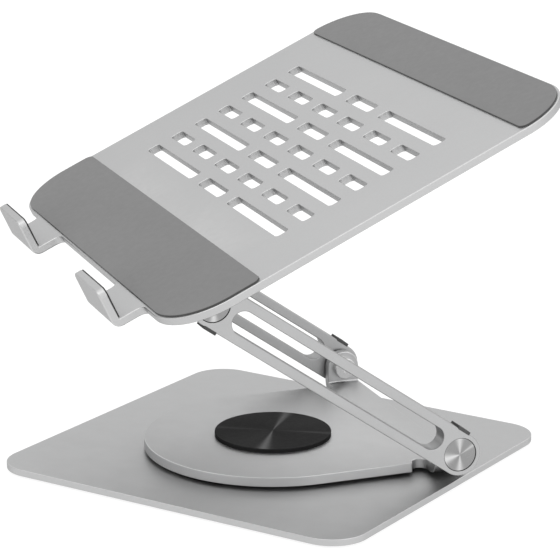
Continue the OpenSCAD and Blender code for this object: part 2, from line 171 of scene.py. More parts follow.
def rounded(corners):
    """Closed outline through the corners (x, y, radius)."""
    points = []
    for i, (x, y, r) in enumerate(corners):
        corner = Vector((x, y))
        into = (corner - Vector(corners[i - 1][:2])).normalized()
        out = (Vector(corners[(i + 1) % len(corners)][:2]) - corner).normalized()
        turn = math.atan2(into.x * out.y - into.y * out.x, into.dot(out))
        normal = Vector((into.y, -into.x))
        centre = corner - into * r * math.tan(abs(turn) / 2) - normal * math.copysign(r, turn)
        points += arc(centre.x, centre.y, r, math.atan2(normal.y, normal.x), turn)
    return tidy(points)


def box_corners(x0, x1, y0, y1, r):
    return [(x0, y0, r), (x1, y0, r), (x1, y1, r), (x0, y1, r)]


def hole(corners):
    """Outline of a hole, given its corners in the same order as a plate's."""
    return rounded(corners[::-1])


def circle(x, y, r):
    return tidy(arc(x, y, r, 0, 2 * math.pi))


def round_hole(x, y, r):
    return tidy(arc(x, y, r, math.pi, -2 * math.pi))


def split_at(outline, axis, stations):
    """Adds a point wherever a straight stretch of the outline crosses a station on an axis."""
    points = []
    for (p, n), (q, _) in zip(outline, outline[1:] + outline[:1]):
        points.append((p, n))
        span = q[axis] - p[axis]
        cuts = [(s - p[axis]) / span for s in stations if abs(span) > SHORTEST_SPAN]
        points += [(p.lerp(q, t), n) for t in sorted(cuts)
                   if SHORTEST_SPAN < t < 1 - SHORTEST_SPAN]
    return points


# ---------- profiles: lists of (offset, height, normal out, normal up), from the top down ----------


def edge(low, high, r_low, r_high, steps=4):
    """A plate's side wall with rounded edges."""
    rings = []
    for i in range(steps + 1 if r_high else 0):
        angle = QUARTER * i / steps
        rise = high - r_high * (1 - math.cos(angle))
        rings.append((r_high * (math.sin(angle) - 1), rise, math.sin(angle), math.cos(angle)))
    if not r_high:
        rings.append((0, high, 1, 0))
    for i in range(steps + 1 if r_low else 0):
        angle = QUARTER * (1 - i / steps)
        rise = low + r_low * (1 - math.cos(angle))
        rings.append((r_low * (math.sin(angle) - 1), rise, math.sin(angle), -math.cos(angle)))
    if not r_low:
        rings.append((0, low, 1, 0))
    return rings


def steps_down(*stops):
    """A wall with sharp steps through the stops (offset, height)."""
    rings = []
    for (o0, h0), (o1, h1) in zip(stops, stops[1:]):
        normal = Vector((h0 - h1, o1 - o0)).normalized()
        rings += [(o0, h0, *normal), (o1, h1, *normal)]
    return rings


# ---------- shells ----------


class Shell:
    """A closed surface in millimetres that keeps a true normal for each corner of each face."""

    def __init__(self):
        self.points, self.rim, self.side = [], [], []
        self.faces, self.normals = [], []

    def wall(self, outline, profile):
        """Sweeps a profile round an outline and returns its first and last ring."""
        rings = []
        for ring in profile:
            rings.append(self._ring(outline, *ring, rings[-1] if rings else None))
        for above, below in zip(rings, rings[1:]):
            if above["at"] == below["at"]:
                continue
            for i in range(len(outline)):
                j = (i + 1) % len(outline)
                a, b = above["ids"], below["ids"]
                na, nb = above["normals"], below["normals"]
                self.faces.append((a[i], b[i], b[j], a[j]))
                self.normals.append((na[i], nb[i], nb[j], na[j]))
        return rings[0]["ids"], rings[-1]["ids"]

    def _ring(self, outline, offset, height, out, up, last):
        at = (offset, height)
        if last and last["at"] == at:
            ids = last["ids"]
        else:
            ids = list(range(len(self.points), len(self.points) + len(outline)))
            self.points += [Vector((*(p + n * offset), height)) for p, n in outline]
            self.rim += [abs(2 * out * up)] * len(outline)
            self.side += [abs(out)] * len(outline)
        normals = [Vector((n.x * out, n.y * out, up)) for _, n in outline]
        return {"at": at, "ids": ids, "normals": normals}

    def lid(self, loops, up, folds=()):
        """Fills the space between a first loop and the round or oblong holes after it."""
        ids = [i for loop in loops for i in loop]
        place = {i: k for k, i in enumerate(ids)}
        edges = [(place[a], place[b]) for loop in loops for a, b in zip(loop, loop[1:] + loop[:1])]
        edges += [(place[a], place[b]) for a, b in folds]
        flat = [self.points[i].to_2d() for i in ids]
        made = delaunay_2d_cdt(flat, edges, [], 0, LID_TOLERANCE)
        came_from = [ids[sources[0]] for sources in made[3]]
        hole_of = {i: k for k, loop in enumerate(loops[1:]) for i in loop}
        outer = [self.points[i] for i in loops[0]]
        for face in made[2]:
            corners = [came_from[k] for k in face]
            inside_hole = {hole_of.get(i) for i in corners}
            if len(inside_hole) == 1 and None not in inside_hole:
                continue
            middle = sum((self.points[i] for i in corners), Vector()) / len(corners)
            if not inside(middle, outer):
                continue
            a, b, c = (self.points[i] for i in corners)
            if ((b - a).cross(c - a)).z * up < 0:
                corners.reverse()
            self.faces.append(tuple(corners))
            self.normals.append(tuple(Vector((0, 0, up)) for _ in corners))

    def folds(self, loop, axis, stations):
        """Edges across the strips of a loop, so that a lid can bend there."""
        pairs = []
        for station in stations:
            hits = [i for i in loop if abs(self.points[i][axis] - station) < SAME_STATION]
            hits.sort(key=lambda i: self.points[i][1 - axis])
            pairs += list(zip(hits[::2], hits[1::2]))
        return pairs

    def bend(self, axis, sign, start, centre_z, reference):
        """Bends what lies past start on an axis by a right angle, round a line at the height centre_z.

        The layer at the distance reference from that line keeps its length.
        """
        def turn_at(point):
            return min(max(sign * point[axis] - start, 0) / reference, QUARTER)

        for k, face in enumerate(self.faces):
            turned = []
            for i, n in zip(face, self.normals[k]):
                angle = turn_at(self.points[i])
                along, rise = sign * n[axis], n.z
                n = n.copy()
                n[axis] = sign * (along * math.cos(angle) - rise * math.sin(angle))
                n.z = along * math.sin(angle) + rise * math.cos(angle)
                turned.append(n)
            self.normals[k] = tuple(turned)
        for point in self.points:
            along = sign * point[axis] - start
            if along > 0:
                angle = turn_at(point)
                radius = centre_z - point.z
                past = max(along - reference * QUARTER, 0)
                point[axis] = sign * (start + radius * math.sin(angle))
                point.z = centre_z - (radius * math.cos(angle) - past)


def inside(point, polygon):
    """Whether a point lies inside a closed polygon, seen from above."""
    found = False
    for a, b in zip(polygon, polygon[1:] + polygon[:1]):
        if (a.y > point.y) != (b.y > point.y):
            if point.x < a.x + (point.y - a.y) * (b.x - a.x) / (b.y - a.y):
                found = not found
    return found


def plate(outline, low, high, r_low, r_high, holes=(), fold_axis=0, stations=(), steps=4):
    """A plate with rounded edges. Each hole is an outline with its own profile."""
    shell = Shell()
    top, bottom = shell.wall(outline, edge(low, high, r_low, r_high, steps))
    tops, bottoms = [top], [bottom]
    for hole_outline, profile in holes:
        first, last = shell.wall(hole_outline, profile)
        tops.append(first)
        bottoms.append(last)
    shell.lid(tops, 1, shell.folds(top, fold_axis, stations))
    shell.lid(bottoms, -1, shell.folds(bottom, fold_axis, stations))
    return shell


def lathe(profile, segments=96):
    """A turned piece round the Z axis through the profile (radius, height, normal out, normal up)."""
    spokes = [(Vector((0, 0)), Vector((math.cos(a), math.sin(a))))
              for a in (2 * math.pi * i / segments for i in range(segments))]
    shell = Shell()
    top, bottom = shell.wall(spokes, profile)
    shell.lid([top], 1)
    shell.lid([bottom], -1 if profile[-1][3] <= 0 else 1)
    return shell


def disc_profile(r, low, high, r_low, r_high):
    """The profile of a disc with rounded edges, for lathe."""
    wall = edge(low, high, r_low, r_high)
    return [(r + offset, height, out, up) for offset, height, out, up in wall]


def build(name, parts, body, slot, material, *nodes):
    """One piece from (shell, place) pairs. It rides on a body and stands for CAD nodes."""
    points, faces, normals, rim, side, spun = [], [], [], [], [], []
    for shell, place in parts:
        start = len(points)
        flip = place.determinant() < 0
        turn = place.to_3x3()
        points += [place @ p * MM for p in shell.points]
        spun += [Vector((p.x, p.y, 0)) for p in shell.points]
        rim += shell.rim
        side += shell.side
        for face, corner_normals in zip(shell.faces, shell.normals):
            face, corner_normals = list(face), [turn @ n for n in corner_normals]
            if flip:
                face.reverse()
                corner_normals.reverse()
            faces.append([i + start for i in face])
            normals += corner_normals
    mesh = bpy.data.meshes.new(name)
    mesh.from_pydata(points, [], faces)
    mesh.shade_smooth()
    for key, values in (("rim", rim), ("side", side)):
        mesh.attributes.new(key, "FLOAT", "POINT").data.foreach_set("value", values)
    flat = [c for v in spun for c in v]
    mesh.attributes.new("spun", "FLOAT_VECTOR", "POINT").data.foreach_set("vector", flat)
    mesh.normals_split_custom_set([n.normalized() for n in normals])
    piece = bpy.data.objects.new(name, mesh)
    bpy.context.scene.collection.objects.link(piece)
    mesh.materials.append(material)
    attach(piece, body)
    if nodes:
        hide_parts(*nodes)
    return piece


# ---------- materials ----------


def new_material(name):
    """A new material and its shader."""
    material = bpy.data.materials.new(name)
    material.use_nodes = True
    return material, material.node_tree.nodes["Principled BSDF"]


def add(material, kind, inputs=(), **settings):
    """Adds a node. Its inputs are numbers, or sockets to link."""
    made = material.node_tree.nodes.new(kind)
    for key, value in settings.items():
        setattr(made, key, value)
    for key, value in dict(inputs).items():
        if isinstance(value, bpy.types.NodeSocket):
            material.node_tree.links.new(value, made.inputs[key])
        else:
            made.inputs[key].default_value = value
    return made


def noise(material, scale, detail=3, roughness=0.5):
    """Noise over the object's own coordinates. The scale is in features per metre."""
    where = add(material, "ShaderNodeTexCoord").outputs["Object"]
    inputs = {"Vector": where, "Scale": scale, "Detail": detail, "Roughness": roughness}
    return add(material, "ShaderNodeTexNoise", inputs).outputs["Fac"]


def between(material, value, low, high, from_low=0.3, from_high=0.7):
    """Maps a value from one range to another."""
    inputs = {"Value": value, 1: from_low, 2: from_high, 3: low, 4: high}
    return add(material, "ShaderNodeMapRange", inputs).outputs["Result"]


def arithmetic(material, operation, a, b=0.0, clamp=False):
    inputs = {0: a, 1: b}
    return add(material, "ShaderNodeMath", inputs, operation=operation, use_clamp=clamp).outputs[0]


def mixed(material, factor, colour_a, colour_b):
    made = material.node_tree.nodes.new("ShaderNodeMix")
    made.data_type = "RGBA"
    for key, value in ((0, factor), (6, colour_a), (7, colour_b)):
        if isinstance(value, bpy.types.NodeSocket):
            material.node_tree.links.new(value, made.inputs[key])
        else:
            made.inputs[key].default_value = value
    return made.outputs[2]


def grey(value, warm=0.0):
    return (value * (1 + warm), value, value * (1 - warm), 1)


def link(material, output, shader, name):
    material.node_tree.links.new(output, shader.inputs[name])


def attribute(material, name, kind="Fac"):
    return add(material, "ShaderNodeAttribute", attribute_name=name).outputs[kind]


def bumped(material, shader, height, distance, strength):
    inputs = {"Height": height, "Distance": distance, "Strength": strength}
    bump = add(material, "ShaderNodeBump", inputs)
    link(material, bump.outputs["Normal"], shader, "Normal")


def blasted_aluminium(name, tone, painted_rim_gain, painted_wall_gain=1.0):
    """Bead-blasted and anodised: fine pits, slight clouding, and edges that handling has polished.

    The rims are polished to a lower roughness, and their colour and that of the side walls hold painted
    light: the gains are the tones of its rims and of its side walls, as parts of the tone of its faces,
    painted highlight above one and painted shade below one.
    """
    material, shader = new_material(name)
    grain = between(material, noise(material, 1300, 3), 0.0, 0.6)
    clouds = arithmetic(material, "ADD", grain, between(material, noise(material, 18, 4), 0.0, 0.4))
    body = mixed(material, clouds, grey(tone * 0.97, -0.004), grey(tone * 1.03, -0.002))
    # The side walls hold painted light: painted highlight where the wall gain is above one, painted shade
    # where it is below.
    body = mixed(material, attribute(material, "side"), body, grey(tone * painted_wall_gain, -0.003))
    # The rims carry real wear in their roughness, and painted light in their colour: painted highlight where
    # the rim gain is above one, painted shade where it is below.
    wear_and_rim_light = arithmetic(material, "MULTIPLY", attribute(material, "rim"),
                      between(material, noise(material, 260, 5), 0.45, 1.0))
    rims_painted = mixed(material, wear_and_rim_light, body, grey(tone * painted_rim_gain))
    link(material, rims_painted, shader, "Base Color")
    pits = noise(material, 2600, 2, 0.6)
    spread = between(material, noise(material, 90, 4), BLASTED_ROUGH - 0.03, BLASTED_ROUGH + 0.04)
    polish = arithmetic(material, "MULTIPLY", wear_and_rim_light, 0.1)
    link(material, arithmetic(material, "SUBTRACT", spread, polish), shader, "Roughness")
    shader.inputs["Metallic"].default_value = 1.0
    shader.inputs["Specular Tint"].default_value = grey(METAL_TINT)
    bumped(material, shader, pits, 0.00002, 0.5)
    return material


def silicone(name, tone, side_shade_tone):
    """Fine matte silicone whose side walls are painted darker, as painted shade."""
    material, shader = new_material(name)
    clouds = between(material, noise(material, 40, 4), 0.0, 1.0)
    face = mixed(material, clouds, grey(tone * 0.98), grey(tone * 1.02))
    # Painted shade: the side walls are darkened towards the side shade tone.
    side_shade = between(material, attribute(material, "side"), 0.0, 1.0, 0.75, 0.98)
    link(material, mixed(material, side_shade, face, grey(side_shade_tone)), shader, "Base Color")
    link(material, between(material, noise(material, 300, 3), 0.7, 0.85), shader, "Roughness")
    shader.inputs["Specular IOR Level"].default_value = 0.3
    shader.inputs["Sheen Weight"].default_value = 0.08
    bumped(material, shader, noise(material, 1400, 3), 0.00004, 0.6)
    return material


def spun(name, tone, sheen_tone, lobes, rough, tangent_axis, edge_tint):
    """A disc turned with fine rings and an anisotropic reflection. A painted sheen lies in its colour, in
    lobes of (angle, width, gain), in degrees, and its side walls hold painted shade.
    """
    material, shader = new_material(name)
    place = add(material, "ShaderNodeSeparateXYZ", {0: attribute(material, "spun", "Vector")})
    x, y = place.outputs[0], place.outputs[1]
    angle = arithmetic(material, "ARCTAN2", y, x)
    # Painted sheen: bright sectors round the centre, painted into the base colour.
    sheen = None
    for centre, width, gain in lobes:
        away = arithmetic(material, "SUBTRACT", angle, math.radians(centre))
        facing = arithmetic(material, "MAXIMUM", arithmetic(material, "COSINE", away), 0.0)
        power = 1 / (1 - math.cos(math.radians(width)))
        lobe = arithmetic(material, "MULTIPLY", arithmetic(material, "POWER", facing, power), gain)
        sheen = lobe if sheen is None else arithmetic(material, "ADD", sheen, lobe)
    radius = add(material, "ShaderNodeVectorMath", {0: attribute(material, "spun", "Vector")},
                 operation="LENGTH").outputs["Value"]
    turns = arithmetic(material, "MULTIPLY", radius, 2 * math.pi / GROOVE_PITCH)
    rings = arithmetic(material, "SINE", turns)
    fine = between(material, noise(material, 900, 3), -0.015, 0.015)
    sheen = arithmetic(material, "ADD", sheen, fine, clamp=True)
    face = mixed(material, sheen, grey(tone), grey(sheen_tone))
    # Painted shade: the side walls are painted darker than the face.
    body = mixed(material, attribute(material, "side"), face, grey(tone * 0.7))
    link(material, body, shader, "Base Color")
    shader.inputs["Metallic"].default_value = 1.0
    shader.inputs["Specular Tint"].default_value = grey(edge_tint)
    shader.inputs["Anisotropic"].default_value = 0.75
    spread = between(material, noise(material, 500, 2), rough - 0.03, rough + 0.03)
    link(material, spread, shader, "Roughness")
    tangent = add(material, "ShaderNodeTangent", direction_type="RADIAL", axis=tangent_axis)
    link(material, tangent.outputs[0], shader, "Tangent")
    bumped(material, shader, rings, 0.000008, 0.4)
    return material


def plain_metal(name, tone, rough):
    """Turned or plated steel with fine tool marks."""
    material, shader = new_material(name)
    clouds = between(material, noise(material, 60, 4), 0.0, 1.0)
    link(material, mixed(material, clouds, grey(tone * 0.92), grey(tone * 1.06)), shader, "Base Color")
    spread = between(material, noise(material, 250, 4), rough - 0.06, rough + 0.06)
    link(material, spread, shader, "Roughness")
    shader.inputs["Metallic"].default_value = 1.0
    bumped(material, shader, noise(material, 700, 3), 0.00002, 0.4)
    return material


def moulded(name, tone, rough):
    """Rubber or plastic with a fine moulded grain."""
    material, shader = new_material(name)
    clouds = between(material, noise(material, 80, 4), 0.0, 1.0)
    link(material, mixed(material, clouds, grey(tone * 0.85), grey(tone * 1.15)), shader, "Base Color")
    spread = between(material, noise(material, 400, 3), rough - 0.08, rough + 0.08)
    link(material, spread, shader, "Roughness")
    bumped(material, shader, noise(material, 900, 4), 0.00003, 0.6)
    return material


# The two gains after each tone paint light into the rims and side walls: painted highlight above one,
# painted shade below one.
BASE_METAL = blasted_aluminium("base_metal", 0.5, 1.15, 1.05)
TURNTABLE_METAL = blasted_aluminium("turntable_metal", 0.51, 1.3, 1.2)
ARM_METAL = blasted_aluminium("arm_metal", 0.47, 0.8, 0.85)
TRAY_METAL = blasted_aluminium("tray_metal", 0.52, 1.12)
# The second tone of each silicone is its painted shade on the side walls.
PAD_SILICONE = silicone("pad_silicone", 0.165, 0.07)
HOOK_SILICONE = silicone("hook_silicone", 0.06, 0.035)
# Lobes of painted sheen on the spun discs.
CENTRE_SHEEN = [(-30, 5.5, 0.85), (145, 5, 0.75), (60, 3, 0.25), (240, 3, 0.25)]
HINGE_SHEEN = [(-47, 18, 1.0), (-125, 13, 0.9), (53, 13, 0.9), (115, 7, 0.6)]
BLACK_METAL = spun("black_metal", 0.043, 0.2, CENTRE_SHEEN, 0.38, "Z", 0.45)
SPUN_METAL = spun("spun_metal", 0.3, 0.66, HINGE_SHEEN, 0.3, "X", 1.0)
TURNED_METAL = plain_metal("turned_metal", 0.55, 0.35)
BOLT_STEEL = plain_metal("bolt_steel", 0.68, 0.24)
SPRING_STEEL = plain_metal("spring_steel", 0.42, 0.35)
DARK_STEEL = plain_metal("dark_steel", 0.12, 0.4)
FRICTION_PLASTIC = moulded("friction_plastic", 0.02, 0.5)
SLIDE_PLASTIC = moulded("slide_plastic", 0.7, 0.4)
FOOT_RUBBER = moulded("foot_rubber", 0.045, 0.75)
BUMPER_RUBBER = moulded("bumper_rubber", 0.055, 0.7)

# ---------- places ----------

UPRIGHT = Matrix.Identity(4)
ON_BASE = Matrix.Rotation(BASE_TURN, 4, "Z")
ON_TRAY = (Matrix.Translation(UPPER_HINGE) @ Matrix.Rotation(TRAY_TILT, 4, "X")
           @ Matrix.Translation((0, -TRAY_REACH, TRAY_DROP)))


def mirrored(side):
    return Matrix.Scale(side, 4, (1, 0, 0))


def on_arm(side):
    """An arm lies with its length from the lower hinge along x, its height along y, and outwards along z."""
    axes = Matrix(((0, 0, 1, 0), (-1, 0, 0, 0), (0, 1, 0, 0), (0, 0, 0, 1)))
    return (mirrored(side) @ Matrix.Translation(LOWER_HINGE) @ Matrix.Rotation(-ARM_TILT, 4, "X")
            @ axes)


def on_hinge(hinge, side, x=0.0):
    """A hinge's hardware is turned round z, which points outwards along the hinge line."""
    return (mirrored(side) @ Matrix.Translation(hinge) @ Matrix.Translation((x, 0, 0))
            @ Matrix.Rotation(QUARTER, 4, "Y"))


# ---------- base ----------


def base_plate():
    outline = rounded(box_corners(-BASE_LEN / 2, BASE_LEN / 2, -BASE_WID / 2, BASE_WID / 2, BASE_R))
    recess = BASE_Z + FLANGE_T
    bore = steps_down((0, BASE_TOP), (0, recess), (HUB_BORE_R - FLANGE_R, recess),
                      (HUB_BORE_R - FLANGE_R, BASE_Z))
    shell = plate(outline, BASE_Z, BASE_TOP, BASE_EDGE_LOW, BASE_EDGE_HIGH,
                  [(round_hole(0, 0, HUB_BORE_R), bore)], steps=5)
    build("base_sheet", [(shell, ON_BASE)], "base", "base_metal", BASE_METAL, "base_plate")


def foot_pads():
    for i in range(4):
        node = f"foot_pad_{i + 1}"
        low, high = low_high(node)
        centre, r = (low + high) / 2, (high.x - low.x) / 2
        shell = lathe(disc_profile(r, 0, high.z, FOOT_EDGE, 0))
        place = Matrix.Translation((centre.x, centre.y, 0))
        build(f"foot_{i + 1}", [(shell, place)], "base", "foot_rubber", FOOT_RUBBER, node)
    low, high = low_high("centre_foot_pad")
    shell = lathe(disc_profile(high.x, 0, high.z, FOOT_EDGE, 0))
    build("centre_foot", [(shell, UPRIGHT)], "base", "foot_rubber", FOOT_RUBBER, "centre_foot_pad")


# ---------- turntable ----------


def turntable():
    bend_x = EAR_OUT - BEND_IN - DISC_T
    bend_z = DISC_TOP + BEND_IN
    reference = BEND_IN + DISC_T / 2
    ear_centre = bend_x + reference * QUARTER + LOWER_HINGE.z - bend_z
    ear_end = ear_centre + EAR_W / 2
    rear = LOWER_HINGE.y + EAR_W / 2
    ear_side = rear - EAR_W
    notch_x = DISC_R - NOTCH_D
    notch_r = NOTCH_W / 2
    right = [(DISC_R, ear_side - NOTCH_W, NOTCH_MOUTH_R), (notch_x, ear_side - NOTCH_W, notch_r),
             (notch_x, ear_side, notch_r), (ear_end, ear_side, EAR_W / 2), (ear_end, rear, EAR_W / 2)]
    left = [(-x, y, r) for x, y, r in reversed(right)]
    front = [(-DISC_R, -DISC_R, DISC_R), (DISC_R, -DISC_R, DISC_R)]
    bends = [bend_x + reference * QUARTER * i / BEND_STEPS for i in range(BEND_STEPS + 1)]
    stations = bends + [-s for s in bends]
    outline = split_at(rounded(right + left + front), 0, stations)
    floor = DISC_TOP - RECESS_D
    step = RECESS_R - DISC_BORE_R
    bore = steps_down((0, DISC_TOP), (0, floor), (step, floor), (step, DISC_Z))
    holes = [(round_hole(0, 0, RECESS_R), bore)]
    for side in (RIGHT, LEFT):
        ear_hole = round_hole(side * ear_centre, LOWER_HINGE.y, EAR_HOLE_R)
        holes.append((ear_hole, edge(DISC_Z, DISC_TOP, 0, 0)))
    shell = plate(outline, DISC_Z, DISC_TOP, DISC_EDGE, DISC_EDGE, holes, 0, stations, steps=5)
    for side in (RIGHT, LEFT):
        shell.bend(0, side, bend_x, bend_z, reference)
    build("turntable_sheet", [(shell, UPRIGHT)], "turntable", "turntable_metal", TURNTABLE_METAL,
          "turntable")


def centre_cap():
    roof = CAP_TOP - CAP_ROOF
    lip_in = CAP_LIP_R - CAP_LIP_T
    lip_end = DISC_TOP - CAP_LIP_D
    outside = disc_profile(CAP_R, DISC_TOP, CAP_TOP, 0, CAP_EDGE)
    inner = steps_down((CAP_R, DISC_TOP), (CAP_R - CAP_WALL, DISC_TOP), (CAP_R - CAP_WALL, roof),
                       (CAP_LIP_R, roof), (CAP_LIP_R, lip_end), (lip_in, lip_end), (lip_in, roof))
    shell = lathe(outside + inner, 160)
    build("centre_disc", [(shell, UPRIGHT)], "turntable", "black_metal", BLACK_METAL, "centre_cap")


# ---------- arms ----------


def arm(side, name):
    outline = rounded(box_corners(-ARM_R, ARM_LEN + ARM_R, -ARM_R, ARM_R, ARM_R))
    slot = hole(box_corners(SLOT_END, ARM_LEN - SLOT_END, -SLOT_W / 2, SLOT_W / 2, SLOT_W / 2))
    well_floor, web = ARM_OUT - CAP_WELL_D, ARM_IN + WEB_T
    nut_step, bore_step = CAP_WELL_R - NUT_WELL_R, CAP_WELL_R - ARM_BORE_R
    mouth = edge(well_floor, ARM_OUT, 0, CAP_WELL_EDGE, 2)
    well = mouth + steps_down((0, well_floor), (nut_step, well_floor), (nut_step, web), (bore_step, web),
                              (bore_step, ARM_IN))
    holes = [(slot, edge(ARM_IN, ARM_OUT, SLOT_EDGE, SLOT_EDGE))]
    holes += [(round_hole(x, 0, CAP_WELL_R), well) for x in (0, ARM_LEN)]
    shell = plate(outline, ARM_IN, ARM_OUT, ARM_EDGE, ARM_EDGE, holes)
    build(f"{name}_arm_bar", [(shell, on_arm(side))], "arms", "arm_metal", ARM_METAL, f"{name}_arm")


def hinge_caps(side, name):
    well_floor = ARM_OUT - CAP_WELL_D
    shell = lathe(disc_profile(HINGE_CAP_R, 0, HINGE_CAP_T, 0, HINGE_CAP_EDGE))
    for level, along in (("lower", 0), ("upper", ARM_LEN)):
        place = on_arm(side) @ Matrix.Translation((along, 0, well_floor))
        build(f"{level}_{name}_disc", [(shell, place)], "arms", "spun_metal", SPUN_METAL,
              f"{level}_{name}_cap")


def bumpers(side, name):
    for level, x0, up in (("lower", BUMPER_AT, 1), ("upper", ARM_LEN - BUMPER_AT - BUMPER_L, -1)):
        y0, y1 = sorted((up * (ARM_R - BUMPER_IN), up * (ARM_R + BUMPER_H)))
        outline = rounded(box_corners(x0, x0 + BUMPER_L, y0, y1, BUMPER_CORNER))
        shell = plate(outline, ARM_IN - BUMPER_PROUD, ARM_OUT + BUMPER_PROUD, BUMPER_EDGE, BUMPER_EDGE)
        build(f"{level}_{name}_strip", [(shell, on_arm(side))], "arms", "bumper_rubber", BUMPER_RUBBER,
              f"{level}_{name}_bumper")


# ---------- hinge hardware ----------


def hinge_bolts(level, hinge, body):
    parts = []
    thread_end = low_high(f"{level}_hinge_bolts")[1].x
    head = Shell()
    across = HEX_KEY / math.sqrt(3)
    hexagon = [(across * math.cos(a), across * math.sin(a), HEX_CORNER)
               for a in (math.pi / 3 * i for i in range(6))]
    rim = edge(0, BOLT_HEAD_H, BOLT_HEAD_EDGE_LOW, BOLT_HEAD_EDGE_HIGH, 6)
    socket = edge(BOLT_HEAD_H - HEX_DEPTH, BOLT_HEAD_H, 0, HEX_EDGE, 2)
    top, bottom = head.wall(circle(0, 0, BOLT_HEAD_R), rim)
    key_top, key_floor = head.wall(hole(hexagon), socket)
    head.lid([top, key_top], 1)
    head.lid([key_floor[::-1]], 1)
    head.lid([bottom], -1)
    web = ARM_IN + WEB_T
    tip = [(THREAD_R - THREAD_CHAMFER, thread_end), (THREAD_R, thread_end - THREAD_CHAMFER)]
    shaft = lathe(steps_down(*tip, (THREAD_R, web), (BOLT_R, web), (BOLT_R, EAR_IN - SHAFT_IN_HEAD)), 64)
    inwards = Matrix.Rotation(math.pi, 4, "X")
    for side in (RIGHT, LEFT):
        parts.append((head, on_hinge(hinge, side, EAR_IN) @ inwards))
        parts.append((shaft, on_hinge(hinge, side)))
    build(f"{level}_bolts", parts, body, "bolt_steel", BOLT_STEEL, f"{level}_hinge_bolts")


def friction_washers(level, hinge, body):
    outer = EAR_OUT + FRICTION_T
    bore = (round_hole(0, 0, EAR_HOLE_R), edge(EAR_OUT, outer, 0, 0))
    shell = plate(circle(0, 0, FRICTION_R), EAR_OUT, outer, FRICTION_EDGE, FRICTION_EDGE, [bore])
    parts = [(shell, on_hinge(hinge, side)) for side in (RIGHT, LEFT)]
    build(f"{level}_friction_rings", parts, body, "friction_plastic", FRICTION_PLASTIC,
          f"{level}_friction_washers")


# ---------- tray ----------


def vent_holes():
    profile = edge(-TRAY_T, 0, VENT_EDGE, VENT_EDGE, 3)
    long_x = (VENT_SPAN - VENT_LONG) / 2
    short_pitch = (VENT_SPAN - VENT_SHORT) / (SHORT_VENTS - 1)
    long_row = [(-long_x, VENT_LONG), (0, VENT_MID), (long_x, VENT_LONG)]
    short_row = [((i - (SHORT_VENTS - 1) / 2) * short_pitch, VENT_SHORT) for i in range(SHORT_VENTS)]
    holes = []
    for row in range(VENT_ROWS):
        y = VENT_CENTRE + (row - (VENT_ROWS - 1) / 2) * VENT_PITCH
        for x, length in (short_row if row % 2 else long_row):
            corners = box_corners(x - length / 2, x + length / 2, y - VENT_W / 2, y + VENT_W / 2, VENT_R)
            holes.append((hole(corners), profile))
    return holes


def screw_holes():
    profile = steps_down((0, 0), (SCREW_HEAD_R - SCREW_HOLE_R, -SCREW_HEAD_H),
                         (SCREW_HEAD_R - SCREW_HOLE_R, -TRAY_T))
    return [(round_hole(side * x, TRAY_REACH + y, SCREW_HEAD_R), profile)
            for side in (RIGHT, LEFT) for x, y in SCREW_SPOTS]


def tray():
    bend_start = HOOK_GAP - HOOK_BEND
    reference = HOOK_BEND + TRAY_T / 2
    tip = bend_start + reference * QUARTER + HOOK_H - HOOK_BEND
    half = TRAY_W / 2
    corners = [(-half, TRAY_D, TRAY_R), (-half, 0, TRAY_R)]
    for x in (-HOOK_X, HOOK_X):
        x0, x1 = x - HOOK_W / 2, x + HOOK_W / 2
        corners += [(x0, 0, HOOK_ROOT), (x0, -tip, HOOK_CORNER)]
        corners += [(x1, -tip, HOOK_CORNER), (x1, 0, HOOK_ROOT)]
    corners += [(half, 0, TRAY_R), (half, TRAY_D, TRAY_R)]
    stations = [-bend_start - reference * QUARTER * i / BEND_STEPS for i in range(BEND_STEPS + 1)]
    outline = split_at(rounded(corners), 1, stations)
    shell = plate(outline, -TRAY_T, 0, TRAY_EDGE_LOW, TRAY_EDGE_HIGH, vent_holes() + screw_holes(), 1,
                  stations, steps=6)
    shell.bend(1, -1, bend_start, HOOK_BEND, reference)
    build("tray_sheet", [(shell, ON_TRAY)], "tray", "tray_metal", TRAY_METAL, "tray")


def front_pad():
    x, y = TRAY_W / 2 - PAD_MARGIN, PAD_MARGIN
    r = TRAY_R - PAD_MARGIN
    rear = y + FRONT_PAD_D
    outline = rounded([(-x, y, r), (x, y, r), (x, rear, PAD_CORNER), (-x, rear, PAD_CORNER)])
    shell = plate(outline, 0, PAD_T, 0, PAD_EDGE)
    build("front_sheet", [(shell, ON_TRAY)], "tray", "pad_silicone", PAD_SILICONE, "front_pad")


def rear_pad():
    r = TRAY_R - PAD_MARGIN
    centre_x, centre_y = TRAY_W / 2 - TRAY_R, TRAY_D - TRAY_R
    front = TRAY_D - PAD_MARGIN - REAR_PAD_D
    small_y = front + PAD_CORNER
    small_x = centre_x + math.sqrt((r - PAD_CORNER) ** 2 - (small_y - centre_y) ** 2)
    meet = math.atan2(small_y - centre_y, small_x - centre_x)
    right = arc(small_x, small_y, PAD_CORNER, -QUARTER, QUARTER + meet)
    right += arc(centre_x, centre_y, r, meet, QUARTER - meet)
    left = [(Vector((-p.x, p.y)), Vector((-n.x, n.y))) for p, n in reversed(right)]
    shell = plate(tidy(right + left), 0, PAD_T, 0, PAD_EDGE)
    build("rear_sheet", [(shell, ON_TRAY)], "tray", "pad_silicone", PAD_SILICONE, "rear_pad")


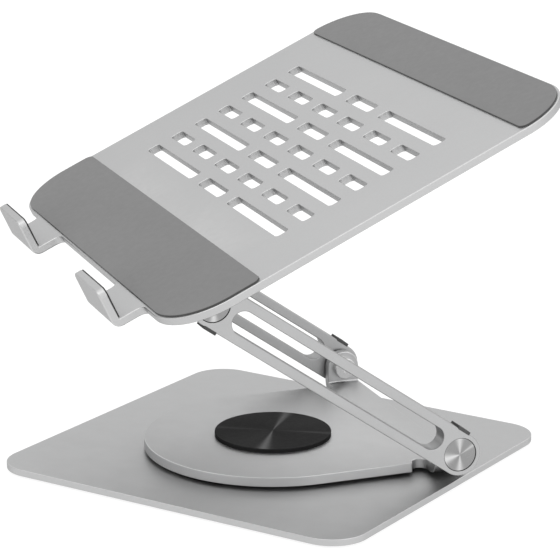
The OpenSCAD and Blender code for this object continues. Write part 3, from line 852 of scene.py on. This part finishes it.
def hook_pads():
    standing = Matrix(((1, 0, 0, 0), (0, 0, 1, -HOOK_GAP), (0, 1, 0, 0), (0, 0, 0, 1)))
    half = HOOK_W / 2 - HOOK_PAD_INSET
    top, r = HOOK_H - HOOK_PAD_INSET, HOOK_CORNER - HOOK_PAD_INSET
    outline = rounded([(-half, HOOK_BEND, HOOK_PAD_CORNER), (half, HOOK_BEND, HOOK_PAD_CORNER),
                       (half, top, r), (-half, top, r)])
    for side, name in ((RIGHT, "right"), (LEFT, "left")):
        shell = plate(outline, 0, HOOK_PAD_T, 0, HOOK_PAD_EDGE)
        place = ON_TRAY @ Matrix.Translation((side * HOOK_X, 0, 0)) @ standing
        build(f"{name}_hook_sheet", [(shell, place)], "tray", "hook_silicone", HOOK_SILICONE,
              f"{name}_hook_pad")


# ---------- CAD nodes that show as they are ----------


def finish_cad_nodes():
    looks = {
        TURNED_METAL: ["pivot_hub", "retainer_ring"],
        DARK_STEEL: ["hub_screws", "retainer_screws", "bracket_screws"],
        SLIDE_PLASTIC: ["lower_slide_washer", "upper_slide_washer"],
        SPRING_STEEL: ["lower_spring_washers", "upper_spring_washers", "lower_lock_nuts", "upper_lock_nuts"],
        ARM_METAL: ["right_bracket", "left_bracket"],
    }
    for material, names in looks.items():
        for name in names:
            piece = frame["nodes"][name]
            piece.data.materials.clear()
            piece.data.materials.append(material)
            bevel = piece.modifiers.new("edges", "BEVEL")
            bevel.width = (BRACKET_BEVEL if "bracket" in name else SMALL_BEVEL) * MM
            bevel.segments = 2
            bevel.limit_method = "ANGLE"
            bevel.angle_limit = SHARPEST_LEFT
            bevel.harden_normals = True


# ---------- stage ----------


def camera():
    """The view of the reference: from the user's right, a little in front and above."""
    data = bpy.data.cameras.new("camera")
    data.sensor_width = 36
    data.lens = CAMERA_LENS
    data.clip_start, data.clip_end = 0.1, 50
    seen_from = bpy.data.objects.new("camera", data)
    seen_from.location = CAMERA_PLACE
    seen_from.rotation_euler = (QUARTER - CAMERA_ELEVATION, 0, CAMERA_AZIMUTH)
    bpy.context.scene.collection.objects.link(seen_from)
    bpy.context.scene.camera = seen_from


def floor():
    """A white floor that glows like a light table, so that shadows on it stay faint."""
    mesh = bpy.data.meshes.new("floor")
    far = FLOOR_REACH
    mesh.from_pydata([(-far, -far, 0), (far, -far, 0), (far, far, 0), (-far, far, 0)], [], [(0, 1, 2, 3)])
    plane = bpy.data.objects.new("floor", mesh)
    bpy.context.scene.collection.objects.link(plane)
    material, shader = new_material("pale_floor")
    shader.inputs["Base Color"].default_value = grey(FLOOR_TONE)
    shader.inputs["Emission Color"].default_value = grey(1)
    shader.inputs["Emission Strength"].default_value = FLOOR_GLOW
    shader.inputs["Roughness"].default_value = 0.9
    shader.inputs["Specular IOR Level"].default_value = 0.1
    mesh.materials.append(material)


def area_light(name, place, aim, size, power):
    data = bpy.data.lights.new(name, "AREA")
    data.shape = "RECTANGLE"
    data.size, data.size_y = size
    data.energy = power
    lamp = bpy.data.objects.new(name, data)
    lamp.location = place
    lamp.rotation_euler = (Vector(aim) - Vector(place)).to_track_quat("-Z", "Y").to_euler()
    bpy.context.scene.collection.objects.link(lamp)


def studio():
    """A soft sky that is darker near the horizon and towards the front, and two large lamps."""
    world = bpy.data.worlds.new("studio")
    bpy.context.scene.world = world
    world.use_nodes = True
    nodes, links = world.node_tree.nodes, world.node_tree.links
    where = nodes.new("ShaderNodeTexCoord")
    split = nodes.new("ShaderNodeSeparateXYZ")
    ramp = nodes.new("ShaderNodeValToRGB")
    steps = ramp.color_ramp.elements
    steps[0].position, steps[0].color = 0.0, grey(SKY_LOW)
    steps[1].position, steps[1].color = 1.0, grey(SKY_HIGH)
    for height, tone in SKY_BETWEEN:
        steps.new(height).color = grey(tone)
    links.new(where.outputs["Generated"], split.inputs[0])
    links.new(split.outputs[2], ramp.inputs[0])
    links.new(ramp.outputs[0], nodes["Background"].inputs["Color"])
    front = nodes.new("ShaderNodeMapRange")
    for key, value in ((1, -1.0), (2, SKY_FRONT_END), (3, SKY_FRONT), (4, SKY_BACK)):
        front.inputs[key].default_value = value
    links.new(split.outputs[1], front.inputs["Value"])
    links.new(front.outputs["Result"], nodes["Background"].inputs["Strength"])
    area_light("key", (0.6, -1.6, 2.2), (0, 0, 0.1), (1.6, 1.6), 10)
    area_light("side", (2.2, 0.9, 0.7), (0, 0, 0.05), (1.4, 0.8), 4)
    bpy.context.scene.view_settings.view_transform = "Standard"


camera()
floor()
studio()
base_plate()
foot_pads()
turntable()
centre_cap()
for arm_side, arm_name in ((RIGHT, "right"), (LEFT, "left")):
    arm(arm_side, arm_name)
    hinge_caps(arm_side, arm_name)
    bumpers(arm_side, arm_name)
HINGES = [("lower", LOWER_HINGE, "turntable"), ("upper", UPPER_HINGE, "tray")]
for hinge_level, hinge_place, bolt_body in HINGES:
    hinge_bolts(hinge_level, hinge_place, bolt_body)
    friction_washers(hinge_level, hinge_place, bolt_body)
tray()
front_pad()
rear_pad()
hook_pads()
finish_cad_nodes()
